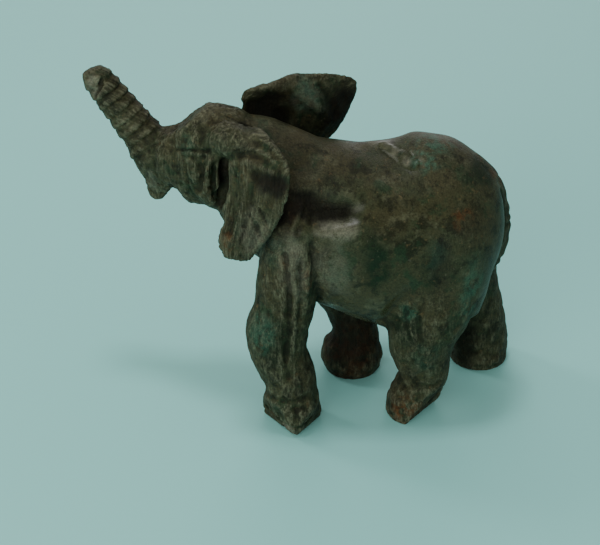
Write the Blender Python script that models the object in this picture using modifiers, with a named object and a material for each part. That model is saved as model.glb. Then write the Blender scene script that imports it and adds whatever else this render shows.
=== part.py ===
"""Small elephant carved from one piece of green stone, walking with its trunk raised.

It faces -X, its left side is towards -Y, and it stands on z = 0 with the origin under the
middle of its box. Places and sizes on the figure are per cent of its back height, so one
length sets the whole carving. The forms are blocked out as limbs with smooth sections,
fused into one skin, and then cut with flat faces, grooves and rings, as a carver would.
"""

import math
from typing import NamedTuple

import bmesh
import bpy
import numpy as np

# Ground to the top of the rump, in metres.
BACK_HEIGHT = 0.080
PER_CENT = BACK_HEIGHT / 100

# The forms are fused on a grid of this size and worn smooth, a little more after carving.
GRID = 0.8
WEAR_PASSES = 9
LAST_WEAR_PASSES = 2
MOST_TRIANGLES = 9500

# Corners round a limb's section, the spacing of its rings along the limb, and the closer
# spacing of the places that a distance from a line is measured from.
SECTION_CORNERS = 32
RING_SPACING = 1.5
CLOSE_SPACING = 0.5

STONE_COLOUR = (0.075, 0.085, 0.055, 1.0)
STONE_ROUGHNESS = 0.45

# Each row of a limb is the middle of a section (x, y, z) and its half width and half depth.
TORSO = (
    (-12, 0, 67, 9, 11),
    (-7, 0, 67.5, 19, 24),
    (1, 0, 68.5, 24, 28),
    (10, 0, 68, 25.5, 27.5),
    (19, 0, 65.5, 26.5, 29),
    (28, 0, 63.5, 27, 32),
    (38, 0, 62.5, 26, 34.5),
    (48, 0, 64, 24.5, 35),
    (56, 0, 66, 23, 31.5),
    (62.5, 0, 67, 18.5, 22.5),
    (67, 0, 67, 12, 14),
    (69, 0, 67, 4, 5),
)
NECK = (
    (8, 0, 68, 17, 22),
    (-1, 0, 75.5, 18, 22.5),
    (-9, 1.5, 82.5, 16.5, 21),
    (-16, 4, 88, 14.5, 17),
    (-21, 5.5, 89, 11, 13),
)
HEAD = (
    (-14, 3, 88.5, 6, 8),
    (-17, 4, 88.5, 11, 15.5),
    (-23, 5.5, 89, 13, 18),
    (-30, 8, 88.5, 12.5, 18.6),
    (-35, 9.5, 87, 11, 16.5),
    (-39, 10.5, 87, 9.5, 12),
    (-43, 12, 86, 8, 10),
    (-46, 13, 86, 5.5, 7.5),
)
TRUNK = (
    (-36, 9.5, 87, 6, 8),
    (-42, 12, 86, 7.5, 10),
    (-46.5, 13.5, 88, 7, 8.5),
    (-50, 15, 93, 6.5, 7),
    (-54, 16, 98, 6.2, 6.5),
    (-58, 17, 103.5, 5.8, 6),
    (-62, 18, 109, 5.4, 5.6),
    (-65, 19, 113, 5, 5),
    (-66, 19.5, 115, 3.5, 3.5),
)
LOWER_LIP = (
    (-42, 12, 86, 5, 6),
    (-44.3, 12.3, 80, 5.2, 6.8),
    (-45.7, 12.6, 75.5, 3.8, 4.8),
    (-46.6, 12.8, 72, 2.2, 2.2),
)
LEFT_FORELEG = (
    (1, -11, 82, 8, 10),
    (1, -14, 75, 11, 13),
    (0, -16, 68, 10.5, 12),
    (-3, -17.5, 57, 10, 10.5),
    (-4.5, -18, 46.5, 9, 10),
    (-7, -18.5, 37, 9, 10.5),
    (-6.5, -18.5, 28, 9, 9.5),
    (-3, -18.5, 19, 9, 9),
    (-2.5, -18.5, 13, 9.5, 9),
    (-2.5, -19, 7, 10.5, 10),
    (-2.5, -19, 1.5, 11, 10.5),
    (-2.5, -19, -3, 11, 10.5),
)
RIGHT_FORELEG = (
    (2, 11, 83, 8, 10),
    (3, 14, 68, 11, 12.5),
    (5, 15, 57, 10.5, 11.5),
    (11.5, 15.5, 39, 9, 9.5),
    (18.5, 15, 25, 8, 8),
    (21.5, 14, 15, 8.5, 8.2),
    (20.5, 13.5, 7, 10.5, 11.2),
    (20.5, 13.5, 3, 10, 10.5),
    (20.5, 13.5, -3, 8.5, 8.5),
)
LEFT_HINDLEG = (
    (49, -8, 85, 8, 9),
    (47.5, -10.5, 78, 11, 13),
    (47.5, -12.5, 65, 12.5, 16.5),
    (46.5, -13.5, 52, 12, 16),
    (44.5, -14, 42, 11, 14),
    (42, -14.5, 32, 10, 12),
    (42, -14.5, 25, 9, 10.5),
    (43.5, -14.5, 17, 8, 8.5),
    (42.5, -14.5, 12.5, 8.5, 8.5),
    (40.5, -14.5, 5.5, 9.5, 9.5),
    (40, -14.5, 0, 9.5, 9.5),
    (40, -14.5, -4, 8.5, 8.5),
)
RIGHT_HINDLEG = (
    (49, 8, 85, 8, 9),
    (48.5, 10.5, 77, 11, 13),
    (51, 13, 62, 12.5, 16.5),
    (56, 15, 45, 11.5, 14.5),
    (61, 16.5, 31, 9.5, 11.5),
    (65, 17.5, 20, 9.2, 10.2),
    (66.5, 18, 11, 10, 10.5),
    (67, 18, 4, 10, 10.5),
    (67, 18, -3, 9.5, 10),
)
TAIL = (
    (58, 0, 88.5, 3, 3),
    (65, 0, 81, 3.2, 3),
    (68.5, 0, 70, 3, 3),
    (69, 0, 60, 3, 3),
    (67.5, 0, 53, 2.2, 2.6),
    (66, 0, 47.5, 1.5, 1.5),
)
# The stone that joins the left ear to the crown of the head.
EAR_ROOT = (
    (-26, 1, 99.5, 5, 4.5),
    (-23, -2.5, 100, 6, 5.5),
    (-20, -6, 100.5, 6, 5.5),
    (-16.5, -10, 101, 5, 5),
    (-13.5, -14, 101.5, 3, 3.5),
)
# The web of stone between the left ear's back and the neck.
EAR_WEB = (
    (-14, -8, 104, 4, 3),
    (-14, -10, 100, 7, 4),
    (-14.5, -12, 94, 8, 4.5),
    (-15.5, -13, 86, 7.5, 4.5),
    (-17, -13.5, 79, 5.5, 3.5),
    (-18, -14, 74, 2.5, 2),
)

# Each row of an ear joins a point on its front edge to one on its rear edge.
LEFT_EAR = (
    ((-17.5, -2, 101.5), (-10.5, -8, 104.5)),
    ((-19.5, -7, 101.5), (-8, -15, 106)),
    ((-21, -10, 98), (-4.5, -22, 103.5)),
    ((-22, -12.5, 94), (-2, -26.5, 99)),
    ((-22.5, -14, 87), (-3, -28, 92)),
    ((-23.5, -15.5, 81.5), (-5, -28, 85)),
    ((-24.5, -16.5, 75.5), (-8, -27, 78.5)),
    ((-26.2, -18, 70.3), (-12, -25.5, 71.5)),
    ((-24, -19.5, 65.8), (-16, -23, 66.2)),
)
RIGHT_EAR = (
    ((-17.5, 12, 109.5), (8, 25, 111)),
    ((-18, 13.5, 105), (20, 29, 108)),
    ((-17, 14.5, 98), (23, 30, 103.5)),
    ((-16, 14.5, 91), (20.5, 29, 95.5)),
    ((-15.5, 14.5, 85.5), (17, 28, 89)),
    ((-14.5, 15, 80), (13, 26.5, 82.5)),
    ((-12, 16, 74.5), (8, 25, 76.5)),
    ((-7, 17.5, 70), (1, 22, 71)),
)
EAR_THICKNESS = 4.2


class Cut(NamedTuple):
    """A flat face: the stone beyond it goes, within reach of its point."""

    point: tuple
    facing: tuple
    reach: float


class Groove(NamedTuple):
    """A rounded channel along a line on the surface, or a ridge where depth is negative."""

    half_width: float
    depth: float
    line: tuple


# The head and trunk turn to the right of the body by this angle, about this place.
HEAD_TURN = math.radians(18)
HEAD_PIVOT = (-7.4, 0, 0)

# A flat face ends softly over this share of its reach.
CUT_FADE = 0.25

# Flat faces: the forehead, the back of the lip, two sides of the left forefoot with a corner
# between them, and the heel of the left hind foot.
CUTS = (
    Cut((-33, 8.3, 103), (-0.63, 0.2, 0.75), 12),
    Cut((-41, 9, 78), (0.45, -0.4, -0.8), 8),
    Cut((-5.7, -22.4, 0), (-0.8, -0.6, -0.35), 18),
    Cut((1.2, -25.4, 0), (0.8, -0.6, -0.3), 16),
    Cut((42.2, -16.5, 0), (0.7, -0.6, -0.4), 16),
)

# The left side of the head, from the brow down past the eye to the cheek and jaw, and last
# the hollow before the ear. The right side has the same.
FACE_GROOVES = (
    Groove(1.6, 0.9, ((-34.5, 3.5, 103), (-36, -1, 98.5))),
    Groove(1.6, 0.8, ((-29, -1, 103), (-30.5, -3.5, 98))),
    Groove(1.1, 0.7, ((-38, -1, 95), (-34, -3.5, 96), (-29.5, -5, 96))),
    Groove(1.1, 0.7, ((-36.5, -2, 93.5), (-33.5, -4, 93.5), (-30, -5, 94))),
    Groove(2.4, 1.1, ((-30.5, -5, 92), (-30.5, -5.5, 87), (-32.5, -2.7, 81.5))),
    Groove(1.3, -0.8, ((-27.5, -6, 94), (-29, -6, 86.5), (-27, -4.5, 79))),
    Groove(1.6, 1.0, ((-26.5, -6.7, 92.5), (-27.4, -6, 83))),
    Groove(2.8, 3.0, ((-23.5, -6.5, 93), (-23.5, -6.7, 83.5), (-25.5, -4, 77))),
)
# The mouth, across below the head.
MOUTH = Groove(2.4, 1.6, ((-37.7, 3, 79.5), (-37.7, 10, 78), (-37.7, 17, 79.5)))
# The valley over the back, before the rump.
BACK_VALLEY = Groove(
    6.5, 0.7, ((42, -14.5, 90.5), (36, -9.5, 93.5), (26, 0, 95.5), (36, 9.5, 93.5), (42, 14.5, 90.5))
)
# The hollow above the flank, and behind the shoulder, on both sides.
BODY_GROOVES = (
    Groove(8, 1.3, ((6, -22, 83), (19, -22, 85), (32, -22, 85.5), (45, -22.5, 85), (54, -21, 84))),
    Groove(6, 1.5, ((8, -22, 81), (17, -22, 81.5))),
)
# The left side: the deep hollow behind the ear and shoulder, crease behind the foreleg, two
# folds of the shoulder, the hollow down the foreleg, and the crease before the thigh.
LEFT_GROOVES = (
    Groove(4.5, 2.2, ((3, -19, 86.5), (9, -19, 84), (17, -19.5, 81.5))),
    Groove(2.2, 1.6, ((4.5, -21.5, 82), (4.5, -25.5, 71), (5.5, -25, 61.5), (7, -17.5, 47.5))),
    Groove(1.4, -0.9, ((1.5, -18.5, 86.5), (-2, -25, 76))),
    Groove(1.4, -0.9, ((4.5, -20, 85), (-0.5, -25, 75.5))),
    Groove(1.8, 0.9, ((-4.5, -25.5, 70), (-3, -27.3, 54), (-4.5, -27.3, 38), (-3.5, -27.3, 23))),
    Groove(3.5, 1.4, ((28, -17.5, 38.5), (32, -24.5, 50), (37.5, -25.5, 56.5))),
)

# Flutes that fan down the left ear to its lobe, folds along its upper edge, and on the back
# of the right ear a fold from the upper edge down, with a hollow before it.
EAR_GROOVES = (
    Groove(1.8, 0.8, ((-19, -15.5, 96.5), (-20.8, -18, 85.5), (-21.7, -21, 75))),
    Groove(1.8, 0.8, ((-13.5, -21, 97), (-15.5, -22.5, 86.5), (-19, -24, 71.5))),
    Groove(1.8, 0.8, ((-7, -25, 97.5), (-10, -26, 86.5), (-15.5, -25.5, 72.5))),
    Groove(1.8, 0.9, ((-17, -10, 102.5), (-12.5, -16, 104), (-7.5, -21, 103), (-5, -25, 100))),
    Groove(1.8, 0.9, ((-18, -14, 99), (-13, -18.5, 101), (-6.5, -25, 99))),
    Groove(6, -1.4, ((-1.5, 18, 110), (6, 21, 103.5), (13.5, 24.5, 94.5))),
    Groove(6, 1.3, ((-8, 15.5, 104), (-2, 18, 98), (5, 21, 93))),
)

# The trunk's rings widen towards its root and step in again. They lie between two shares of
# the trunk's length, up to a distance from its middle line, and the deeper share of each is
# cut in while the rest stands proud.
TRUNK_RINGS = 10
RING_DEPTH = 0.9
RINGED_FROM = 0.14
RINGED_TO = 0.97
RINGED_REACH = 11
RING_CUT_SHARE = 0.6


def unit(vectors):
    """The vectors at length one."""
    return vectors / np.linalg.norm(vectors, axis=-1, keepdims=True)


def smooth_rows(rows, spacing=RING_SPACING):
    """A Catmull-Rom curve through the rows of a table, with a row about every spacing."""
    table = np.array(rows, float)
    padded = np.vstack([2 * table[0] - table[1], table, 2 * table[-1] - table[-2]])
    stretches = []
    for before, start, end, after in zip(padded, padded[1:], padded[2:], padded[3:]):
        steps = max(1, math.ceil(np.linalg.norm((end - start)[:3]) / spacing))
        t = (np.arange(steps) / steps)[:, None]
        curve = 2 * start + t * (end - before)
        curve = curve + t**2 * (2 * before - 5 * start + 4 * end - after)
        curve = curve + t**3 * (3 * start - before - 3 * end + after)
        stretches.append(curve / 2)
    stretches.append(table[-1:])
    return np.vstack(stretches)


def add_skin(mesh, rings):
    """Adds a closed skin over rings of points to the bmesh, with a flat cap at each end."""
    loops = [[mesh.verts.new(point) for point in ring] for ring in rings]
    for first, second in zip(loops, loops[1:]):
        for i in range(SECTION_CORNERS):
            j = (i + 1) % SECTION_CORNERS
            mesh.faces.new((first[i], first[j], second[j], second[i]))
    mesh.faces.new(loops[0][::-1])
    mesh.faces.new(loops[-1])


def add_limb(mesh, rows):
    """Adds a limb: elliptical sections square to a smooth line through the rows."""
    line = smooth_rows(rows)
    middles = line[:, None, :3]
    along = unit(np.gradient(middles, axis=0))
    sideways = np.array([0.0, 1.0, 0.0])
    across = unit(sideways - along * (along @ sideways)[..., None])
    through = np.cross(along, across)
    angle = np.linspace(0, 2 * np.pi, SECTION_CORNERS, endpoint=False)[:, None]
    half_width, half_depth = line[:, None, 3:4], line[:, None, 4:5]
    rings = middles + half_width * np.cos(angle) * across
    rings = rings + half_depth * np.sin(angle) * through
    add_skin(mesh, rings)


def add_ear(mesh, rows):
    """Adds an ear: lens-shaped sections from its front edge to its rear edge."""
    line = smooth_rows([front + rear for front, rear in rows])
    front, rear = line[:, None, :3], line[:, None, 3:]
    down = np.gradient((front + rear) / 2, axis=0)
    facing = unit(np.cross(rear - front, down))
    angle = np.linspace(0, 2 * np.pi, SECTION_CORNERS, endpoint=False)[:, None]
    rings = front + (rear - front) * (1 - np.cos(angle)) / 2
    rings = rings + facing * np.sin(angle) * EAR_THICKNESS / 2
    add_skin(mesh, rings)


def fused_forms():
    """The overlapping forms as one worn skin, in per cent."""
    forms = bmesh.new()
    for rows in (TORSO, NECK, HEAD, TRUNK, LOWER_LIP, EAR_ROOT, EAR_WEB, TAIL):
        add_limb(forms, rows)
    for rows in (LEFT_FORELEG, RIGHT_FORELEG, LEFT_HINDLEG, RIGHT_HINDLEG):
        add_limb(forms, rows)
    for rows in (LEFT_EAR, RIGHT_EAR):
        add_ear(forms, rows)
    bmesh.ops.recalc_face_normals(forms, faces=forms.faces)
    blank = bpy.data.objects.new("blank", bpy.data.meshes.new("blank"))
    forms.to_mesh(blank.data)
    forms.free()
    bpy.context.scene.collection.objects.link(blank)
    grid = blank.modifiers.new("fuse", "REMESH")
    grid.mode = "VOXEL"
    grid.voxel_size = GRID
    wear = blank.modifiers.new("wear", "SMOOTH")
    wear.iterations = WEAR_PASSES
    graph = bpy.context.evaluated_depsgraph_get()
    skin = bpy.data.meshes.new_from_object(blank.evaluated_get(graph))
    bpy.data.objects.remove(blank)
    return skin


def cut_flat(points, cut):
    """The points with those beyond the cut's face brought back onto it."""
    facing = unit(np.array(cut.facing, float))
    offset = points - np.array(cut.point)
    beyond = np.clip(offset @ facing, 0, None)
    distance = np.linalg.norm(offset, axis=1)
    hold = np.clip((cut.reach - distance) / (CUT_FADE * cut.reach), 0, 1)
    return points - (beyond * hold)[:, None] * facing


def distance_to(points, line):
    """The distance of each point from a smooth line through the line's points."""
    course = smooth_rows(line, CLOSE_SPACING)
    return np.min([np.linalg.norm(points - place, axis=1) for place in course], axis=0)


def cut_groove(points, normals, groove):
    """The points with the groove's rounded channel sunk along the surface normals."""
    share = np.clip(distance_to(points, groove.line) / groove.half_width, 0, 1)
    return points - (groove.depth * (1 - share**2) ** 2)[:, None] * normals


def mirrored(groove, turn=0.0, pivot=(0, 0, 0)):
    """The groove on the other side of an upright plane that turns from -X by an angle."""
    facing = np.array([math.sin(turn), math.cos(turn), 0])
    line = np.array(groove.line, float)
    line = line - 2 * ((line - pivot) @ facing)[:, None] * facing
    return groove._replace(line=tuple(line))


def ring_trunk(points):
    """The points with the trunk's rings cut in, square to its middle line."""
    course = smooth_rows(TRUNK, CLOSE_SPACING)[:, :3]
    steps = np.linalg.norm(np.diff(course, axis=0), axis=1)
    length = np.concatenate([[0], np.cumsum(steps)])
    root, tip = RINGED_FROM * length[-1], RINGED_TO * length[-1]
    offset = points[:, None] - course[None]
    reach = np.linalg.norm(offset, axis=2)
    nearest = reach.argmin(axis=1)
    rows = np.arange(len(points))
    outward = unit(offset[rows, nearest])
    place = (length[nearest] - root) / (tip - root)
    on_trunk = (reach[rows, nearest] < RINGED_REACH) & (place > 0) & (place < 1)
    tooth = 1 - (place * TRUNK_RINGS) % 1
    return points + (on_trunk * RING_DEPTH * (tooth - RING_CUT_SHARE))[:, None] * outward


def mesh_points(mesh, layer="vertices", name="co"):
    """A per-vertex vector of the mesh as an array."""
    values = np.empty(len(mesh.vertices) * 3)
    getattr(mesh, layer).foreach_get(name, values)
    return values.reshape(-1, 3)


def all_grooves():
    """Every groove of the carving, with those of the other side."""
    grooves = [MOUTH, BACK_VALLEY, *LEFT_GROOVES, *EAR_GROOVES]
    for groove in FACE_GROOVES:
        grooves += [groove, mirrored(groove, HEAD_TURN, HEAD_PIVOT)]
    for groove in BODY_GROOVES:
        grooves += [groove, mirrored(groove)]
    return grooves


def carve(skin):
    """Cuts the faces, grooves and rings into the skin, and brings it to size."""
    points = mesh_points(skin)
    for cut in CUTS:
        points = cut_flat(points, cut)
    points = ring_trunk(points)
    skin.vertices.foreach_set("co", points.ravel())
    skin.update()
    normals = mesh_points(skin, "vertex_normals", "vector")
    for groove in all_grooves():
        points = cut_groove(points, normals, groove)
    skin.vertices.foreach_set("co", points.ravel() * PER_CENT)
    skin.update()


def stone():
    """The dark green stone."""
    material = bpy.data.materials.new("verdite")
    material.use_nodes = True
    shader = material.node_tree.nodes["Principled BSDF"]
    shader.inputs["Base Color"].default_value = STONE_COLOUR
    shader.inputs["Roughness"].default_value = STONE_ROUGHNESS
    shader.inputs["Metallic"].default_value = 0.0
    return material


def ground_cutter(collection):
    """A block under z = 0 that cuts the four soles flat."""
    half = BACK_HEIGHT
    bpy.ops.mesh.primitive_cube_add(size=2 * half, location=(0, 0, -half))
    block = bpy.context.object
    block.name = "ground_cutter"
    block.hide_render = True
    block.display_type = "WIRE"
    for home in list(block.users_collection):
        home.objects.unlink(block)
    collection.objects.link(block)
    return block


def main():
    """Builds the carving in an emptied scene."""
    for thing in list(bpy.data.objects):
        bpy.data.objects.remove(thing)
    carving = bpy.data.collections.new("elephant_carving")
    cutters = bpy.data.collections.new("cutters")
    for collection in (carving, cutters):
        bpy.context.scene.collection.children.link(collection)

    skin = fused_forms()
    carve(skin)
    elephant = bpy.data.objects.new("elephant", skin)
    skin.materials.append(stone())
    carving.objects.link(elephant)

    wear = elephant.modifiers.new("last_wear", "SMOOTH")
    wear.iterations = LAST_WEAR_PASSES
    thin = elephant.modifiers.new("thin", "DECIMATE")
    thin.ratio = MOST_TRIANGLES / (2 * len(skin.polygons))
    soles = elephant.modifiers.new("soles", "BOOLEAN")
    soles.operation = "DIFFERENCE"
    soles.object = ground_cutter(cutters)

    graph = bpy.context.evaluated_depsgraph_get()
    finished = elephant.evaluated_get(graph).to_mesh()
    points = mesh_points(finished)
    middle = (points.min(axis=0) + points.max(axis=0)) / 2
    elephant.location = (-middle[0], -middle[1], 0)


main()
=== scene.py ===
"""The looks of a small elephant carved from one piece of green stone.

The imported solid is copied, worn smooth and carved again with the marks that are too fine for
it: rings round the trunk, flutes and folds on the ears, creases of the hide, facets, and the
furrows of a rasp. Places are in the figure's own frame, in per cent of its back height: it
faces -X, its left side is towards -Y, and it stands on z = 0.
"""

import logging
import math
from dataclasses import dataclass, field, replace
from enum import Enum
from itertools import product
from typing import ClassVar

import bmesh
import bpy
import numpy as np
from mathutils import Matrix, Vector


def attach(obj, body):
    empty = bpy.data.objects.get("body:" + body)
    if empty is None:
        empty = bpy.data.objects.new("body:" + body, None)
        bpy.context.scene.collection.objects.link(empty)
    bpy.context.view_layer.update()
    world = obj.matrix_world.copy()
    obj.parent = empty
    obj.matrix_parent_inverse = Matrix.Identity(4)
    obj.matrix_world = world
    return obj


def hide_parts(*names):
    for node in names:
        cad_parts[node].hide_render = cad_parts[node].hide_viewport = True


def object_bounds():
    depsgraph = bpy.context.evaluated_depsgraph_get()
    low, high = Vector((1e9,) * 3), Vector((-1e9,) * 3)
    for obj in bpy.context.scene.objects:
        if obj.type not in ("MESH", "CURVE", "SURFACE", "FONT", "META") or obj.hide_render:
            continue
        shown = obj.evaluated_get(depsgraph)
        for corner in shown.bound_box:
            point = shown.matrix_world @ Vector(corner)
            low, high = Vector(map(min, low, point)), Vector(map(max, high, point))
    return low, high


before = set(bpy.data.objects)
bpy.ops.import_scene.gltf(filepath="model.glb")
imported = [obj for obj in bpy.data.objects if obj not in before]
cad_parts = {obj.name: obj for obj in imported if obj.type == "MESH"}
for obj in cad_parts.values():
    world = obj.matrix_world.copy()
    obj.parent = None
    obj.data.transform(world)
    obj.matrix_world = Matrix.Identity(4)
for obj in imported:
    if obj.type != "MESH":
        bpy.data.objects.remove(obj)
CAD_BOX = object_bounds()

Array = np.ndarray
Place = tuple[float, float, float]
Colour = tuple[float, float, float, float]
Socket = bpy.types.NodeSocket
Input = Socket | float | Colour

log = logging.getLogger("elephant")


class Mask(Enum):
    """The painted masks of the stone, by attribute name."""

    POLISH = "polish"
    RELIEF = "relief"
    GREEN = "green"
    TEAL = "teal"
    RUST = "rust"
    # Dark stone, and painted shade in deep hollows and on parts that lie in shadow.
    DARK_STONE_AND_SHADE = "dark"
    # Pale stone, and painted highlights where the polish would catch the light.
    PALE_STONE_AND_HIGHLIGHT = "pale"


# The attribute that holds the coordinates of the fine tool marks.
LAY = "lay"
# Numbers that mix a corner of the noise and its seed into one of VALUE_COUNT values.
AXIS_MIXERS = np.array([73856093, 19349663, 83492791])
SEED_MIXER = 2654435
ROUND_MIXERS = ((13, 1274126177), (15, 668265263))
LAST_SHIFT = 16
LOW_BITS = 0x7FFFFFFF
VALUE_COUNT = 65536
# The size of the bends in a groove, and the seed of their noise.
BEND_SIZE = 2.5
BEND_SEED = 71


@dataclass(frozen=True)
class FigureFrame:
    """The figure's own frame, in per cent of its back height.

    Attributes:
        height: The height of the whole figure.
        middle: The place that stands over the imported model's origin.
    """

    height: float = 116.21
    middle: Place = (4.123, 0.172, 0.0)

    @property
    def per_cent(self) -> float:
        """One per cent of the back height, in metres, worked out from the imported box."""
        low, high = CAD_BOX
        return (high.z - low.z) / self.height

    def inward(self, points: Array) -> Array:
        """Points in metres brought into the figure's frame."""
        return points / self.per_cent + np.array(self.middle)

    def outward(self, points: Array) -> Array:
        """Points of the figure's frame brought to metres."""
        return (points - np.array(self.middle)) * self.per_cent


FIGURE = FigureFrame()


def unit(vectors: Array) -> Array:
    """The vectors at length one."""
    length = np.linalg.norm(vectors, axis=-1, keepdims=True)
    return vectors / np.maximum(length, 1e-9)


def smooth_step(low: float, high: float, values: Array) -> Array:
    """Rises from 0 at low to 1 at high, level at both ends: 3t^2 - 2t^3."""
    t = np.clip((values - low) / (high - low), 0, 1)
    return t * t * (3 - 2 * t)


@dataclass(frozen=True)
class Ramp:
    """A weight that rises smoothly from 0 at low to its strength at high.

    Attributes:
        low: Where it is 0.
        high: Where it is full, which may be the lower of the two.
        strength: Its full value.
    """

    low: float
    high: float
    strength: float = 1.0

    def at(self, values: Array) -> Array:
        """The weight at each of the values."""
        return self.strength * smooth_step(self.low, self.high, values)


def lattice_noise(points: Array, seed: int) -> Array:
    """Smooth noise from -1 to 1.

    Each whole-number corner has a value mixed from its numbers and the seed, and a point
    blends the eight corners round it by the rule 3t^2 - 2t^3 along each axis.

    Args:
        points: Places, one row each, where a step of 1 is one feature of the noise.
        seed: A whole number that picks the pattern.

    Returns:
        One value for each point.
    """
    cell = np.floor(points).astype(np.int64)
    share = points - cell
    share = share * share * (3 - 2 * share)
    total = np.zeros(len(points))
    for corner in product((0, 1), repeat=3):
        key = (cell + corner) @ AXIS_MIXERS + seed * SEED_MIXER
        for shift, mixer in ROUND_MIXERS:
            key = (key ^ (key >> shift)) * mixer & LOW_BITS
        value = (key ^ (key >> LAST_SHIFT)) % VALUE_COUNT / (VALUE_COUNT - 1)
        total += value * np.where(corner, share, 1 - share).prod(axis=1)
    return 2 * total - 1


def layered_noise(points: Array, seed: int, layers: int = 3) -> Array:
    """Noise with finer layers added, each twice as fine and half as strong, from -1 to 1."""
    total = np.zeros(len(points))
    for layer in range(layers):
        total += lattice_noise(points * 2**layer, seed + layer) / 2**layer
    return total / (2 - 2.0 ** (1 - layers))


def smooth_course(places: Array, spacing: float = 0.5) -> Array:
    """A Catmull-Rom curve through the places, with a row about every spacing."""
    table = np.array(places, float)
    padded = np.vstack([2 * table[0] - table[1], table, 2 * table[-1] - table[-2]])
    stretches = []
    for before, start, end, after in zip(padded, padded[1:], padded[2:], padded[3:]):
        steps = max(1, math.ceil(np.linalg.norm((end - start)[:3]) / spacing))
        t = (np.arange(steps) / steps)[:, None]
        curve = 2 * start + t * (end - before)
        curve = curve + t**2 * (2 * before - 5 * start + 4 * end - after)
        curve = curve + t**3 * (3 * start - before - 3 * end + after)
        stretches.append(curve / 2)
    stretches.append(table[-1:])
    return np.vstack(stretches)


@dataclass(frozen=True)
class Nearest:
    """Where points lie along a course.

    Attributes:
        distance: The distance of each point from the course.
        along: The share of the course's length that lies before each point.
        offset: The vector to the point, square to the course.
    """

    distance: Array
    along: Array
    offset: Array


def nearest_knots(points: Array, knots: Array, reach: float) -> tuple[Array, Array, Array]:
    """Finds the nearest knot of each point that lies no further than reach from their box.

    Args:
        points: Places, one row each.
        knots: The places that are measured against.
        reach: How far outside the knots' box a point is still measured.

    Returns:
        The rows of the points that were measured, their distances and their knots' rows.
    """
    low, high = knots.min(axis=0) - reach, knots.max(axis=0) + reach
    near = np.flatnonzero(((points > low) & (points < high)).all(axis=1))
    local = points[near]
    best = np.full(len(near), np.inf)
    index = np.zeros(len(near), int)
    for i, knot in enumerate(knots):
        distance = ((local - knot) ** 2).sum(axis=1)
        closer = distance < best
        best[closer] = distance[closer]
        index[closer] = i
    return near, np.sqrt(best), index


def nearest_on(points: Array, course: Array, reach: float) -> Nearest:
    """Measures points against a course of places.

    Args:
        points: Places, one row each.
        course: The places of the course in order.
        reach: How far outside the course's box a point is still measured.

    Returns:
        The distance, share of length and offset of each point. A point that lies further
        off has a distance without end.
    """
    near, best, index = nearest_knots(points, course, reach)
    steps = np.linalg.norm(np.diff(course, axis=0), axis=1)
    length = np.concatenate([[0], np.cumsum(steps)])
    tangent = unit(np.gradient(course, axis=0))[index]
    offset = points[near] - course[index]
    ahead = (offset * tangent).sum(axis=1)
    result = Nearest(np.full(len(points), np.inf), np.zeros(len(points)), np.zeros(points.shape))
    result.distance[near] = best
    result.along[near] = (length[index] + ahead) / length[-1]
    result.offset[near] = offset - ahead[:, None] * tangent
    return result


@dataclass
class Surface:
    """The carving's fine surface while it is worked.

    Attributes:
        mesh: The mesh that is worked.
        points: Its points, in the figure's frame.
        normals: Their normals.
    """

    mesh: bpy.types.Mesh
    points: Array = field(init=False)
    normals: Array = field(init=False)

    def __post_init__(self) -> None:
        """Takes the points and normals from the mesh."""
        self.read()

    def read(self) -> None:
        """Takes the points, in the figure's frame, and the normals from the mesh."""
        values = np.empty(len(self.mesh.vertices) * 3)
        self.mesh.vertices.foreach_get("co", values)
        self.points = FIGURE.inward(values.reshape(-1, 3))
        self.mesh.vertex_normals.foreach_get("vector", values)
        self.normals = values.reshape(-1, 3).copy()

    def settle(self) -> None:
        """Puts the points back into the mesh, and takes its new normals."""
        self.mesh.vertices.foreach_set("co", FIGURE.outward(self.points).ravel())
        self.mesh.update()
        self.read()

    def sink(self, depth: Array) -> None:
        """Moves the points in by a depth along their normals, or out where it is negative."""
        self.points = self.points - depth[:, None] * self.normals

    def worn(self, passes: int) -> Array:
        """The points after they moved, a number of times, to the middle of their neighbours."""
        ends = np.empty(len(self.mesh.edges) * 2, np.int64)
        self.mesh.edges.foreach_get("vertices", ends)
        first, second = ends.reshape(-1, 2).T
        start, end = np.concatenate([first, second]), np.concatenate([second, first])
        count = np.bincount(start, minlength=len(self.points))
        worn = self.points
        for _ in range(passes):
            sums = [np.bincount(start, worn[end, axis], len(worn)) for axis in range(3)]
            worn = np.array(sums).T / count[:, None]
        return worn

    def relief(self, passes: int) -> Array:
        """How far each point stands out from a worn copy: under 0 in hollows."""
        return ((self.points - self.worn(passes)) * self.normals).sum(axis=1)


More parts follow.
